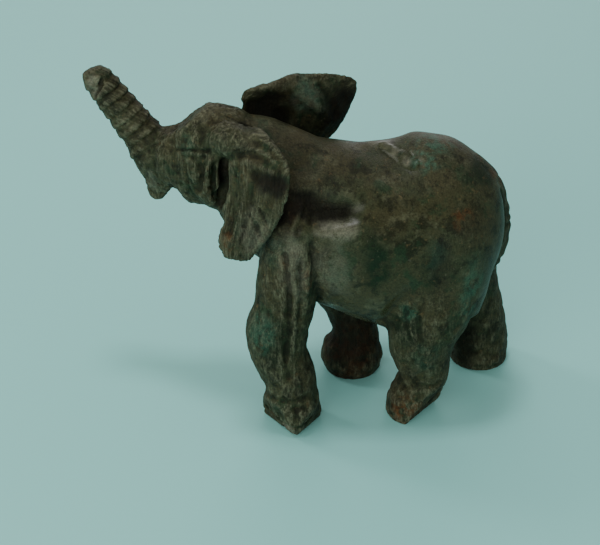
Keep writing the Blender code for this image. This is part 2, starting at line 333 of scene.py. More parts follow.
@dataclass(frozen=True)
class Groove:
    """A rounded channel along a line on the surface, or a ridge where depth is negative.

    Attributes:
        half_width: From the middle of the channel to its edge.
        depth: How far the middle lies below the surface.
        line: Places near the surface that the channel passes.
        sharp: The power of the profile: a high one gives a narrow floor and soft shoulders.
        wander: How far the channel strays from its line, in its own half widths.
    """

    half_width: float
    depth: float
    line: tuple[Place, ...]
    sharp: float = 2.0
    wander: float = 0.35

    def cut(self, surface: Surface) -> None:
        """Sinks the channel: depth times (1 - share^2) to the power of sharp.

        The line is first laid on the surface: each of its places moves to the nearest point.

        Args:
            surface: The surface that is worked.
        """
        points = surface.points
        course = smooth_course(self.line, self.half_width / 3)
        margin = 3 * self.half_width + 2
        low, high = course.min(axis=0) - margin, course.max(axis=0) + margin
        near = np.flatnonzero(((points > low) & (points < high)).all(axis=1))
        local = points[near]
        laid = [local[((local - place) ** 2).sum(axis=1).argmin()] for place in course]
        stray = self.wander * self.half_width * lattice_noise(local / BEND_SIZE, BEND_SEED)
        distance = nearest_on(local, np.array(laid), margin).distance + stray
        share = np.clip(distance, 0, None) / self.half_width
        depth = np.zeros(len(points))
        depth[near] = self.depth * np.clip(1 - share**2, 0, 1) ** self.sharp
        surface.sink(depth)

    def mirrored(self, turn: float = 0.0, pivot: Place = (0, 0, 0)) -> "Groove":
        """The groove mirrored in the upright plane along X, turned by an angle at the pivot."""
        facing = np.array([math.sin(turn), math.cos(turn), 0])
        line = np.array(self.line, float)
        line = line - 2 * ((line - pivot) @ facing)[:, None] * facing
        return replace(self, line=tuple(map(tuple, line)))


@dataclass(frozen=True)
class Facet:
    """A flat face: the stone beyond it goes, within reach of its point.

    Attributes:
        point: A place on the face.
        facing: The way the face looks.
        reach: How far from the point it still cuts.
        full: The share of its reach within which it cuts fully.
    """

    point: Place
    facing: Place
    reach: float
    full: float = 0.75

    def cut(self, surface: Surface) -> None:
        """Brings the points beyond the face back onto it, less so near its reach."""
        facing = unit(np.array(self.facing))
        offset = surface.points - np.array(self.point)
        beyond = np.clip(offset @ facing, 0, None)
        hold = smooth_step(self.reach, self.full * self.reach, np.linalg.norm(offset, axis=1))
        surface.points = surface.points - (beyond * hold)[:, None] * facing


@dataclass(frozen=True)
class Patch:
    """A soft-edged patch of a mask.

    Attributes:
        place: The middle of the patch.
        size: Half its extent along x, y and z.
        strength: The mask's value at its middle.
        full: The share of its extent within which it is at full strength.
    """

    place: Place
    size: Place
    strength: float = 1.0
    full: float = 0.4

    def cover(self, points: Array, ragged: Array) -> Array:
        """Strength at the middle, falling to 0 at an edge that strays by the ragged values."""
        share = np.linalg.norm((points - np.array(self.place)) / np.array(self.size), axis=1)
        return self.strength * smooth_step(1.0, self.full, share + ragged)


class Region:
    """A part of the figure with tool marks of its own.

    Attributes:
        grain: How fast the marks' coordinates change along x, y and z.
    """

    grain: ClassVar[Place] = (1, 1, 0.16)

    def carve(self, surface: Surface) -> None:
        """Works the region's marks into the surface."""

    def roughness(self, points: Array) -> Array:
        """How rough the tools left the region at each point, from 0 to 1."""
        return np.zeros(len(points))

    def lay(self, points: Array) -> Array:
        """Coordinates that change slowly along the fine tool marks, which run upright."""
        return points * self.grain


@dataclass
class Limb(Region):
    """A part of the figure round a middle line.

    Attributes:
        line: Its middle line.
        reach: How far from the middle line its surface lies.
        fade: How far within its reach its weight falls off.
    """

    line: tuple[Place, ...]
    reach: float
    fade: ClassVar[float] = 3.0

    def span(self, points: Array) -> tuple[Nearest, Array]:
        """Where points lie along the line, and a weight of 1 near it and 0 past its reach."""
        near = nearest_on(points, smooth_course(self.line), self.reach)
        return near, smooth_step(self.reach, self.reach - self.fade, near.distance)

    def roughness(self, points: Array) -> Array:
        """All rough."""
        return self.span(points)[1]


@dataclass
class Trunk(Limb):
    """The raised trunk with its rings.

    Attributes:
        line: Its middle line, from inside the head to the tip.
        rings: How many rings it has.
        ringed: The shares of its length where the rings begin and end.
        reach: How far from the middle line its surface lies.
        begin: Where the rings set in and are full, in shares of its length past the first.
        flare: How much each ring stands out at its wide end.
        groove: How deep the cut at each ring's wide end is.
        cut_in: How that cut deepens, in rings from its middle.
        stray: How far the rings stray from even spacing, in rings.
        strokes: How deep the fine marks are.
        marks: How many fine marks follow each other along its length.
        fade: How far within its reach its weight falls off.
        nostril: The flat face of the trunk's end.
        nostril_rim: The cut behind that face.
        nostril_dish: The hollow in it.
    """

    line: tuple[Place, ...] = (
        (-36, 9.5, 87), (-42, 12, 86), (-46.5, 13.5, 88), (-50, 15, 93), (-54, 16, 98),
        (-58, 17, 103.5), (-62, 18, 109), (-65, 19, 113), (-66, 19.5, 115),
    )
    rings: int = 10
    ringed: tuple[float, float] = (0.14, 0.97)
    reach: float = 11.0
    begin: tuple[float, float] = (-0.02, 0.04)
    flare: float = 0.1
    groove: float = 0.4
    cut_in: Ramp = Ramp(0.2, 0.0)
    stray: float = 0.22
    strokes: float = 0.2
    marks: float = 55.0
    fade: ClassVar[float] = 2.0
    nostril: Facet = Facet((-65.2, 13.6, 111.0), (-0.45, -0.87, 0.12), 5.5)
    nostril_rim: Groove = Groove(
        1.0, 1.2, ((-61.9, 14.1, 113.6), (-63.0, 13.3, 110.8), (-64.8, 13.7, 107.5))
    )
    nostril_dish: Groove = Groove(2.4, 0.5, ((-65.5, 13.7, 112.5), (-65.4, 13.6, 110)), 1.0)

    def span(self, points: Array) -> tuple[Nearest, Array]:
        """As on any limb, but the weight sets in at the first ring."""
        near, on = super().span(points)
        low, high = (self.ringed[0] + step for step in self.begin)
        return near, on * smooth_step(low, high, near.along)

    def carve(self, surface: Surface) -> None:
        """Cuts the rings, each a flare that steps in over a groove, and the nostril."""
        near, on = self.span(surface.points)
        first, last = self.ringed
        phase = (near.along - first) / (last - first) * self.rings
        phase = phase + self.stray * lattice_noise(surface.points / 7, seed=3)
        tooth = 1 - phase % 1
        edge = np.minimum(phase % 1, 1 - phase % 1)
        uneven = 0.55 + 0.6 * lattice_noise(surface.points / 5, seed=9)
        ring = self.flare * (0.5 - tooth) + self.groove * uneven * self.cut_in.at(edge)
        lines = layered_noise(self.lay(surface.points), seed=21, layers=2)
        surface.sink(on * (ring + self.strokes * lines))
        surface.settle()
        self.nostril.cut(surface)
        self.nostril_rim.cut(surface)
        self.nostril_dish.cut(surface)

    def lay(self, points: Array) -> Array:
        """The marks run round the trunk."""
        near = self.span(points)[0]
        return np.column_stack([near.along * self.marks, near.offset[:, :2] * 0.2])


@dataclass
class Head(Region):
    """The head, turned to its right: what is cut on its left is cut on its right too.

    Attributes:
        turn: The angle of its turn.
        pivot: The place that it turns about.
        tip: What the tip of the lower lip gains.
        lip: The flat face of the pointed lower lip.
        grooves: The marks on its left side: a ridge over the brow, eye lines, cheek lines,
            the ridge before the ear, and the hollows behind that.
        before_neck: Where it is rough, along x.
        above_chest: Where it is rough, by height.
        furrows: How deep its furrows are.
        pits: The noise where its pits begin and are full, and how deep they are.
    """

    turn: float = math.radians(18)
    pivot: Place = (-7.4, 0, 0)
    tip: Groove = Groove(4.0, -1.8, ((-44.2, 10.5, 78.5), (-45.8, 12.0, 75.0)), 1.0)
    lip: Facet = Facet((-47.4, 7.8, 79.5), (-0.51, -0.79, -0.33), 9.0)
    grooves: tuple[Groove, ...] = (
        Groove(1.6, -0.35, ((-32.2, 1.0, 104), (-32.4, -1.2, 101), (-32.6, -2.2, 98))),
        Groove(0.7, 0.45, ((-38.6, -0.2, 94.8), (-34, -2.6, 95.9), (-28, -4.6, 96.4))),
        Groove(0.7, 0.2, ((-36.7, -1.7, 93.5), (-32.5, -3.8, 93.9), (-28.6, -5.1, 94.5))),
        Groove(1.8, 0.5, ((-31, -4.3, 91.3), (-30.5, -4.3, 86.6), (-31.4, -2.7, 80.7))),
        Groove(1.0, 0.4, ((-35, -2.2, 91), (-35.2, -1.8, 86), (-34.5, -1.2, 80.5))),
        Groove(
            0.9, -0.9,
            ((-27.6, -6.5, 94.1), (-28.7, -6.8, 90), (-29.2, -6.1, 86), (-27.2, -2.7, 77.3)),
        ),
        Groove(1.3, 0.9, ((-26.5, -6, 91.5), (-26.7, -5.8, 84.7), (-26.5, -5.2, 80))),
        Groove(2.2, 1.2, ((-23.6, -4.4, 92), (-23.4, -4.8, 87.8), (-24.2, -3.4, 80.9))),
    )
    before_neck: Ramp = Ramp(-13, -19)
    above_chest: Ramp = Ramp(60, 66)
    furrows: float = 0.26
    pits: Ramp = Ramp(0.25, 0.7, 0.25)

    def carve(self, surface: Surface) -> None:
        """Draws out the lip's tip and cuts its face, then the marks on both sides."""
        self.tip.cut(surface)
        self.lip.cut(surface)
        for groove in self.grooves:
            groove.cut(surface)
            groove.mirrored(self.turn, self.pivot).cut(surface)
        furrows = self.furrows * layered_noise(surface.points * (0.8, 0.8, 0.35), seed=31)
        pits = self.pits.at(lattice_noise(surface.points * 0.75, seed=37))
        surface.sink(self.roughness(surface.points) * (furrows + pits))

    def roughness(self, points: Array) -> Array:
        """Rough before the neck."""
        return self.before_neck.at(points[:, 0]) * self.above_chest.at(points[:, 2])


@dataclass
class Ear(Region):
    """An ear, as a sheet from its front edge to its rear edge.

    Attributes:
        rows: Each row joins a point on the front edge to one on the rear edge, top to bottom.
        flutes: How many furrows fan across it.
        depth: How deep they are.
        grooves: Its larger folds and hollows.
        reach: How far from the sheet the ear's stone lies.
        knot_gap: The spacing of the sheet's rows of knots.
        knots_across: How many knots a row has.
        fluted: How the flutes take over from the rim's ridges, in shares of its height.
        combed: How the lay of the fine marks turns from the rim to the flutes.
        rim: How the rim sets in, in shares of the sheet.
        chips: How deep the chips on its face are.
        rim_chips: How much deeper they are on the rim.
    """

    rows: tuple[tuple[Place, Place], ...]
    flutes: float
    depth: float
    grooves: tuple[Groove, ...]
    reach: float = 3.6
    knot_gap: float = 1.5
    knots_across: int = 20
    fluted: Ramp = Ramp(0.22, 0.4)
    combed: Ramp = Ramp(0.15, 0.4)
    rim: Ramp = Ramp(0.12, 0.0)
    chips: float = 0.14
    rim_chips: float = 0.5

    def place_on(self, points: Array) -> tuple[Array, Array, Array]:
        """Where points lie on the ear.

        Args:
            points: Places, one row each.

        Returns:
            The share across from front to rear, the share down from top to bottom, and a
            weight of 1 on the ear and 0 off it. A point is read from the nearest knot of a
            fine grid on the sheet, moved by its offset along the grid's two directions.
        """
        line = smooth_course([front + rear for front, rear in self.rows], self.knot_gap)
        across = np.linspace(0, 1, self.knots_across)
        sheet = line[:, None, :3] + (line[:, None, 3:] - line[:, None, :3]) * across[:, None]
        knots = sheet.reshape(-1, 3)
        near, best, index = nearest_knots(points, knots, self.reach)
        row, column = index // len(across), index % len(across)
        along_row = np.gradient(sheet, axis=1)[row, column]
        down = np.gradient(sheet, axis=0)[row, column]
        offset = points[near] - knots[index]
        u = column + (offset * along_row).sum(axis=1) / (along_row**2).sum(axis=1)
        v = row + (offset * down).sum(axis=1) / (down**2).sum(axis=1)
        shares = np.zeros((3, len(points)))
        shares[0, near] = u / (len(across) - 1)
        shares[1, near] = v / (len(line) - 1)
        shares[2, near] = smooth_step(self.reach, self.reach - 1, best)
        return shares[0], shares[1], shares[2]

    def carve(self, surface: Surface) -> None:
        """Cuts the folds, then flutes that fan to the lobe and ridges along the upper rim."""
        for groove in self.grooves:
            groove.cut(surface)
        surface.settle()
        u, v, on = self.place_on(surface.points)
        fan = layered_noise(np.column_stack([u * self.flutes, v * 3, v * 0]), seed=41, layers=2)
        rings = layered_noise(np.column_stack([v * self.flutes, u * 4, v * 0]), seed=43, layers=2)
        low = self.fluted.at(v)
        chips = layered_noise(surface.points / 2.2, seed=47)
        edge = self.rim.at(np.minimum(np.minimum(u, 1 - u), np.minimum(v, 1 - v)))
        furrows = self.depth * (low * fan + (1 - low) * rings)
        surface.sink(on * (furrows + self.chips * chips + self.rim_chips * edge * chips))

    def roughness(self, points: Array) -> Array:
        """All rough."""
        return self.place_on(points)[2]

    def lay(self, points: Array) -> Array:
        """The marks fan down to the lobe, and along the rim in the upper part."""
        u, v, _ = self.place_on(points)
        low = self.combed.at(v)
        across = self.flutes * (low * u + (1 - low) * 1.3 * v)
        return np.column_stack([across, 5 * (low * v + (1 - low) * u), 0 * u])


LEFT_EAR = Ear(
    rows=(
        ((-17.5, -2, 101.5), (-10.5, -8, 104.5)),
        ((-19.5, -7, 101.5), (-8, -15, 106)),
        ((-21, -10, 98), (-4.5, -22, 103.5)),
        ((-22, -12.5, 94), (-2, -26.5, 99)),
        ((-22.5, -14, 87), (-3, -28, 92)),
        ((-23.5, -15.5, 81.5), (-5, -28, 85)),
        ((-24.5, -16.5, 75.5), (-8, -27, 78.5)),
        ((-26.2, -18, 70.3), (-12, -25.5, 71.5)),
        ((-24, -19.5, 65.8), (-16, -23, 66.2)),
    ),
    flutes=30,
    depth=0.26,
    grooves=(
        Groove(3.0, 0.7, ((-14, -20.5, 95.5), (-9, -24, 96.2), (-4.5, -26.4, 97))),
        Groove(1.2, 0.45, ((-15.2, -23.3, 83.1), (-13.1, -25.1, 79.4), (-11.6, -26.5, 75.9))),
        Groove(1.1, 0.4, ((-12.5, -25.3, 86), (-10.6, -26.6, 82), (-9.5, -27, 79))),
        Groove(1.0, -0.35, ((-14.1, -12, 105.9), (-8.6, -17.9, 105.6), (-3.6, -24.3, 101.5))),
    ),
)
RIGHT_EAR = Ear(
    rows=(
        ((-17.5, 12, 109.5), (8, 25, 111)),
        ((-18, 13.5, 105), (20, 29, 108)),
        ((-17, 14.5, 98), (23, 30, 103.5)),
        ((-16, 14.5, 91), (20.5, 29, 95.5)),
        ((-15.5, 14.5, 85.5), (17, 28, 89)),
        ((-14.5, 15, 80), (13, 26.5, 82.5)),
        ((-12, 16, 74.5), (8, 25, 76.5)),
        ((-7, 17.5, 70), (1, 22, 71)),
    ),
    flutes=24,
    depth=0.24,
    grooves=(
        Groove(3.5, 0.9, ((-14, 14, 104), (-8, 16, 101), (-2, 18, 96))),
        Groove(2.5, -0.7, ((0.5, 17.3, 109), (3.6, 18.8, 104), (8, 21, 98.5))),
        Groove(2.5, 0.7, ((9, 21.5, 107), (12, 23, 101), (14, 24, 95))),
    ),
)


@dataclass
class Body(Region):
    """The polished body, with creases at the shoulder, the flank and the thigh.

    Attributes:
        left: Grooves of the left side.
        shelf: The small flat that catches the light under the hollow behind the shoulder.
        wear: Passes of wear on the polished skin.
        streak: The polished crest before the rump.
        saddle: The rise of the back on the right of that crest.
        ripple: How deep the slight waves of the skin are.
        behind_shoulder: Where the polish begins, along x.
        above_legs: Where the polish begins, by height.
        haunch: How rough it is towards the rump, along x.
        top: How rough its top is, by height.
        off_crest: How that roughness sets in beside the crest, by the distance from it.
        neck: How rough it is at the neck.
        past_neck: How that roughness ends, along x.
    """

    left: tuple[Groove, ...] = (
        Groove(1.1, -0.5, ((2.5, -19, 85.8), (0.5, -21.5, 82.6), (-1.8, -24.3, 78.8))),
        Groove(0.9, 0.4, ((3.4, -19, 84.5), (1.4, -21.8, 80.5), (-0.5, -24, 76.5))),
        Groove(1.1, 0.4, ((4.4, -21.5, 80), (4.2, -23.7, 75.8), (3.9, -25.2, 60.1))),
        Groove(4.0, -0.8, ((5, -23, 77), (11, -23.6, 77), (16, -23.4, 78)), 1.0),
        Groove(0.6, 0.18, ((44, -22.7, 77), (44.5, -24.2, 70), (46.9, -25.3, 61.1))),
        Groove(0.9, -0.35, ((-15.6, 3, 104), (-15, -0.6, 103), (-13.8, -8, 104.5))),
    )
    shelf: Facet = Facet((12.5, -23.6, 77.6), (-0.09, -0.5, 0.86), 7.5)
    wear: int = 36
    streak: Groove = Groove(
        2.2, -0.6, ((29.2, 3, 93.4), (30.3, -0.5, 93.7), (33.1, -5, 93.7), (37, -10, 93)), 1.0
    )
    saddle: Groove = Groove(7.0, -1.5, ((26, 5, 92.6), (31, 6, 93.4), (35, 7, 94.2)), 1.5, 0.0)
    ripple: float = 0.07
    behind_shoulder: Ramp = Ramp(-4, 8)
    above_legs: Ramp = Ramp(46, 58)
    haunch: Ramp = Ramp(38, 58, 0.45)
    top: Ramp = Ramp(84, 90, 0.55)
    off_crest: Ramp = Ramp(2, 5)
    neck: float = 0.75
    past_neck: Ramp = Ramp(-10, 4)

    def carve(self, surface: Surface) -> None:
        """Cuts the creases, the rise and the flat, wears the skin, then adds the crest."""
        for groove in self.left:
            groove.cut(surface)
        self.saddle.cut(surface)
        self.shelf.cut(surface)
        hold = self.polish(surface.points)[:, None]
        surface.points = surface.points + hold * (surface.worn(self.wear) - surface.points)
        self.streak.cut(surface)
        surface.sink(self.ripple * layered_noise(surface.points / 7, seed=51, layers=2))

    def polish(self, points: Array) -> Array:
        """Where the skin is polished: behind the shoulder and above the legs."""
        return self.behind_shoulder.at(points[:, 0]) * self.above_legs.at(points[:, 2])

    def roughness(self, points: Array) -> Array:
        """Rough at the neck, less so over the haunch and on top, but not on the crest."""
        haunch = self.haunch.at(points[:, 0])
        crest = nearest_on(points, smooth_course(self.streak.line), 6).distance
        top = self.top.at(points[:, 2]) * self.off_crest.at(crest)
        neck = self.neck * (1 - self.past_neck.at(points[:, 0]))
        return np.maximum(np.maximum(neck, haunch), top)


@dataclass
class Leg(Limb):
    """A rasped leg, whose marks run down it in short strokes.

    Attributes:
        line: Its middle line, from the top down.
        reach: How far from the middle line its surface lies.
        top: The height where the rasp marks begin.
        seed: Picks the pattern of its marks.
        grooves: Its long creases and toe marks.
        full_below: How far below its top the marks are full.
        furrows: How deep the rasp's furrows are.
        dents: How deep the dents are.
        foot_dents: How much deeper they are at the foot, by height.
        off_sole: How the marks set in above the sole, by height.
        grain: How fast the marks' coordinates change along x, y and z.
    """

    top: float
    seed: int
    grooves: tuple[Groove, ...] = ()
    full_below: float = 16.0
    furrows: float = 0.26
    dents: float = 0.3
    foot_dents: Ramp = Ramp(18, 8, 0.6)
    off_sole: Ramp = Ramp(0.3, 2.0)
    grain: ClassVar[Place] = (1, 1, 0.38)

    def roughness(self, points: Array) -> Array:
        """Rough below the top of the marks."""
        below = smooth_step(self.top, self.top - self.full_below, points[:, 2])
        return super().roughness(points) * below

    def carve(self, surface: Surface) -> None:
        """Cuts the creases and toe marks, then long rasp marks down the leg."""
        for groove in self.grooves:
            groove.cut(surface)
        height = surface.points[:, 2]
        rough = self.roughness(surface.points) * self.off_sole.at(height)
        furrows = self.furrows * layered_noise(surface.points * (0.6, 0.6, 0.2), self.seed)
        dents = layered_noise(surface.points / 3.8, self.seed + 9, layers=2)
        surface.sink(rough * (furrows + (self.dents + self.foot_dents.at(height)) * dents))


LEGS = (
    Leg(
        ((1, -13, 78), (0, -16, 68), (-4.5, -18, 46.5), (-6.5, -18.5, 28), (-2.5, -19, 0)),
        15.5, 82, 61,
        (
            Groove(
                1.5, 0.5,
                ((-4.4, -24.8, 69.3), (-2.9, -26.5, 53.5), (-2.9, -26.6, 42.1), (-4.3, -26.9, 30)),
            ),
            Groove(1.3, 0.4, ((0.5, -26.5, 68.4), (0.6, -26.9, 57.5), (0, -26, 45.5))),
            Groove(1.3, -0.45, ((-2, -26, 70), (-1.2, -27, 56), (-1.6, -26.5, 44), (-2.3, -26, 34))),
            Groove(1.3, -0.4, ((3, -25, 66), (2.8, -26, 58), (2.5, -25, 50))),
            Groove(1.6, 0.3, ((-8.5, -23.9, 67), (-9.3, -25.5, 56.8), (-10, -25.5, 48))),
            Groove(1.0, 0.5, ((-9.5, -21, 8.5), (-8.8, -21, 4), (-8.2, -21, 0.8))),
            Groove(1.0, 0.5, ((-6, -23.5, 8), (-5.6, -23.5, 4), (-5.2, -23.4, 0.8))),
            Groove(2.0, 0.5, ((-12, -19, 13), (-5, -25.5, 14), (3, -26, 15))),
            Groove(1.2, 0.6, ((-11, -18, 4.6), (-6, -24, 4.2), (-1, -29, 4.0), (4.5, -25, 4.5))),
            Groove(2.2, 0.7, ((-0.9, -29.5, 0), (-0.8, -28.8, 6), (-0.8, -27.8, 11))),
        ),
    ),
    Leg(
        ((3, 14, 68), (5, 15, 57), (11.5, 15.5, 39), (18.5, 15, 25), (20.5, 13.5, 0)),
        15, 62, 65,
    ),
    Leg(
        ((47.5, -12.5, 65), (46.5, -13.5, 52), (42, -14.5, 32), (43.5, -14.5, 17), (40, -14.5, 0)),
        17, 62, 69,
        (
            Groove(1.4, 0.4, ((35, -22.5, 48), (35.5, -22, 42), (37, -22.5, 36))),
            Groove(1.3, 0.35, ((40.5, -24.7, 50), (39.5, -24, 42), (40.5, -24.3, 35))),
            Groove(1.8, 0.5, ((34, -20.5, 14), (40, -23, 15.5), (47, -21.5, 16))),
        ),
    ),
    Leg(
        ((51, 13, 62), (56, 15, 45), (61, 16.5, 31), (66.5, 18, 11), (67, 18, 0)),
        16, 56, 73,
    ),
)


@dataclass
class Tail(Limb):
    """The tail that lies on the rump.

    Attributes:
        line: Its middle line.
        reach: How far from the middle line its surface lies.
        knots: How many bumps it has.
        groove: The channel between it and the left haunch.
        bump: How far each bump rises and dips.
    """

    line: tuple[Place, ...] = ((62, 0, 88), (66.5, 0, 78), (69, 0, 66), (68.5, 0, 56), (66.5, 0, 49))
    reach: float = 6.5
    knots: int = 7
    groove: Groove = Groove(1.6, 1.0, ((65.5, -5.5, 80), (68, -5, 70), (67.5, -5, 60), (66, -4, 51)))
    bump: float = 0.2

    def carve(self, surface: Surface) -> None:
        """Cuts the channels beside the tail and the bumps along it."""
        self.groove.cut(surface)
        self.groove.mirrored().cut(surface)
        near, on = self.span(surface.points)
        stray = 4 * lattice_noise(surface.points / 5, seed=81)
        bumps = np.cos(2 * np.pi * self.knots * near.along + stray)
        surface.sink(on * self.bump * bumps)


PATCHES: dict[Mask, tuple[Patch, ...]] = {
    Mask.GREEN: (
        Patch((24.5, -26, 68), (6, 10, 15)),
        Patch((59.5, -6, 88), (6, 9, 9), 0.9),
        Patch((-9, -26, 38), (9, 10, 12), 0.9),
        Patch((36, -22, 40), (7, 9, 10), 0.8),
        Patch((-26.6, -5.5, 86), (2, 6, 12), 0.9),
        Patch((-16, -22, 74), (9, 9, 10), 0.5),
        Patch((10, 20, 100), (10, 9, 10), 0.8),
        Patch((35, 26, 62), (14, 9, 16), 0.8),
        Patch((10, 24, 74), (10, 9, 9), 0.6),
        Patch((42, -25, 60), (4, 6, 9), 0.5),
        Patch((42, -24, 28), (7, 8, 9), 0.7),
    ),
    Mask.TEAL: (
        Patch((41, -9, 94), (6, 6, 5)),
        Patch((44, -3, 96.5), (10, 9, 5)),
        Patch((-35.5, -1.8, 97), (3, 4, 5), 0.5),
        Patch((42, -24, 28), (7, 8, 10), 0.35),
        Patch((36, -22.5, 46), (3.5, 6, 6), 0.8),
        Patch((56, -22.5, 52), (5, 8, 18), 0.8),
        Patch((4.5, 19, 104), (7, 7, 9)),
        Patch((44, -24, 68), (4, 6, 7), 0.5),
        Patch((-12, -25, 40), (7, 8, 11), 0.85),
        Patch((-9, -26, 70), (6, 6, 10), 0.45),
    ),
    Mask.RUST: (
        Patch((52, -20, 79), (4.5, 6, 6), 0.8),
        Patch((38, -22, 4), (10, 9, 9)),
        Patch((19, 8, 12), (13, 13, 18)),
        Patch((-4.8, -25, 69), (2.5, 4, 6), 0.6),
        Patch((3, -26, 60), (2.5, 4, 7), 0.8),
        Patch((-22, -20, 74), (2.5, 5, 9), 0.6),
        Patch((65, -1.5, 86), (5, 6, 5), 0.5),
        Patch((40, 10, 93), (7, 5, 4), 0.6),
        Patch((-3, -20, 84), (4, 6, 7), 0.6),
    ),
    # Dark stone and painted shade: the mask darkens real dark stone and also stands in for shadow.
    Mask.DARK_STONE_AND_SHADE: (
        # Painted shadow in the hollow between the near ear and the shoulder, in three patches.
        Patch((2, -19, 83.5), (10, 7, 7.5)),
        Patch((10.5, -19, 81.5), (10, 6, 4.5)),
        Patch((-3, -19.5, 81), (9, 6.5, 16)),
        # Painted shade on the far foreleg.
        Patch((20, 9, 14), (14, 13, 26), 0.9),
        # Painted shade on the far ear.
        Patch((-8, 16, 100), (12, 9, 13)),
        Patch((16, 24, 97), (9, 9, 12)),
        Patch((-8.5, -25, 94.5), (9, 7, 5.5)),
        Patch((45.5, -24.5, 66), (5, 6, 14), 0.5),
        Patch((54, -21, 76), (7, 6, 6), 0.35),
        # Painted shade on the far hind leg.
        Patch((61, 12, 12), (6, 9, 20), 0.8),
        # Painted shade in the hollow before the root of the near ear.
        Patch((-23.6, -5, 87), (2.4, 4.5, 8)),
    ),
    # Pale stone and painted highlights.
    Mask.PALE_STONE_AND_HIGHLIGHT: (
        Patch((-65.5, 13.7, 111), (4, 4, 5)),
        Patch((-48, 9, 80), (4, 4, 7), 0.5),
        # Painted highlight along the polished crest before the rump, in three patches.
        Patch((29.6, 1.5, 93.5), (2.0, 4, 2.2), 0.55),
        Patch((31.6, -2.8, 93.7), (2.0, 4, 2.2), 0.65),
        Patch((35, -7.5, 93.4), (2.2, 4, 2.2), 0.65),
        Patch((-30, 8, 106), (8, 10, 4), 0.2),
        # Painted highlight on the far ear's lit band.
        Patch((4.5, 19, 104), (7, 6, 8), 0.35),
        # Painted sheen fading down the flank below the shoulder hollow.
        Patch((10, -24, 63), (9, 8, 14), 0.4),
        # Painted highlight on the flat under the shoulder hollow.
        Patch((12, -23.5, 77), (9, 5, 4), 0.8),
        Patch((-2, -25, 64), (6, 6, 16), 0.6),
        Patch((-14, -25, 77), (9, 7, 11), 0.45),
        # Painted highlight on the toe of the near foreleg.
        Patch((-5, -28, 2), (8, 6, 3.5), 0.8),
    ),
}


@dataclass
class Carving:
    """The elephant's surface and the tool marks on it.

    Attributes:
        name: The piece's name.
        node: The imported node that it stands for.
        grid: The spacing of the fine surface, in per cent.
        wear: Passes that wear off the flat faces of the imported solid.
        most_triangles: The most triangles that the finished surface keeps.
        relief_passes: Passes of wear that the relief is measured against.
        full_relief: The height that counts as full relief, in per cent.
        regions: The parts of the figure, in the order that they are carved.
        ragged: How far the edges of the painted patches stray, in shares of their extent.
        ragged_size: The size of those strays, in per cent.
    """

    name: str = "elephant_carving"
    node: str = "elephant"
    grid: float = 0.42
    wear: int = 8
    most_triangles: int = 192000
    relief_passes: int = 24
    full_relief: float = 0.3
    regions: tuple[Region, ...] = (Body(), Trunk(), Head(), LEFT_EAR, RIGHT_EAR, *LEGS, Tail())
    ragged: float = 0.3
    ragged_size: float = 3.0

    def blank(self) -> bpy.types.Object:
        """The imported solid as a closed, even and smooth surface.

        Returns:
            A new object whose mesh is the merged copy, remeshed on a grid and worn.
        """
        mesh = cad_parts[self.node].data.copy()
        mesh.materials.clear()
        merged = bmesh.new()
        merged.from_mesh(mesh)
        bmesh.ops.remove_doubles(merged, verts=merged.verts, dist=1e-6)
        merged.to_mesh(mesh)
        merged.free()
        piece = bpy.data.objects.new(self.name, mesh)
        bpy.context.scene.collection.objects.link(piece)
        remesh = piece.modifiers.new("grid", "REMESH")
        remesh.mode = "VOXEL"
        remesh.voxel_size = self.grid * FIGURE.per_cent
        wear = piece.modifiers.new("wear", "SMOOTH")
        wear.iterations = self.wear
        self.apply_modifiers(piece)
        return piece

    @staticmethod
    def apply_modifiers(piece: bpy.types.Object) -> None:
        """Makes the piece's evaluated mesh its own."""
        graph = bpy.context.evaluated_depsgraph_get()
        mesh = bpy.data.meshes.new_from_object(piece.evaluated_get(graph))
        piece.modifiers.clear()
        piece.data = mesh

    def build(self) -> bpy.types.Object:
        """Makes the whole surface, with its masks.

        Returns:
            The finished piece, without its material.
        """
        piece = self.blank()
        surface = Surface(piece.data)
        log.info("%s: %d points before carving", self.name, len(surface.points))
        for region in self.regions:
            region.carve(surface)
            surface.settle()
        surface.points[:, 2] = np.clip(surface.points[:, 2], 0, None)
        surface.settle()
        self.paint(surface)
        thin = piece.modifiers.new("thin", "DECIMATE")
        thin.ratio = min(1.0, self.most_triangles / (2 * len(piece.data.polygons)))
        self.apply_modifiers(piece)
        piece.data.shade_smooth()
        log.info("%s: %d faces", self.name, len(piece.data.polygons))
        return piece

    def paint(self, surface: Surface) -> None:
        """Writes the masks of the stone and the lay of its marks as attributes."""
        points = surface.points
        shares = np.array([region.roughness(points) for region in self.regions])
        lays = np.array([region.lay(points) for region in self.regions])
        rough = shares.max(axis=0)
        weights = (shares + 1e-6) ** 4
        lay = (weights[:, :, None] * lays).sum(axis=0) / weights.sum(axis=0)[:, None]
        layer = surface.mesh.attributes.new(LAY, "FLOAT_VECTOR", "POINT")
        layer.data.foreach_set("vector", lay.ravel())
        ragged = self.ragged * layered_noise(points / self.ragged_size, seed=5)
        relief = surface.relief(self.relief_passes) / self.full_relief
        masks = {Mask.RELIEF: relief}
        # The dark and pale masks hold painted shade and painted highlights along with the stone's
        # own colours.
        for mask, patches in PATCHES.items():
            masks[mask] = np.max([patch.cover(points, ragged) for patch in patches], axis=0)
        masks[Mask.POLISH] = (1 - rough) * (1 - masks[Mask.DARK_STONE_AND_SHADE])
        for mask, values in masks.items():
            layer = surface.mesh.attributes.new(mask.value, "FLOAT", "POINT")
            layer.data.foreach_set("value", np.clip(values, -1, 1))


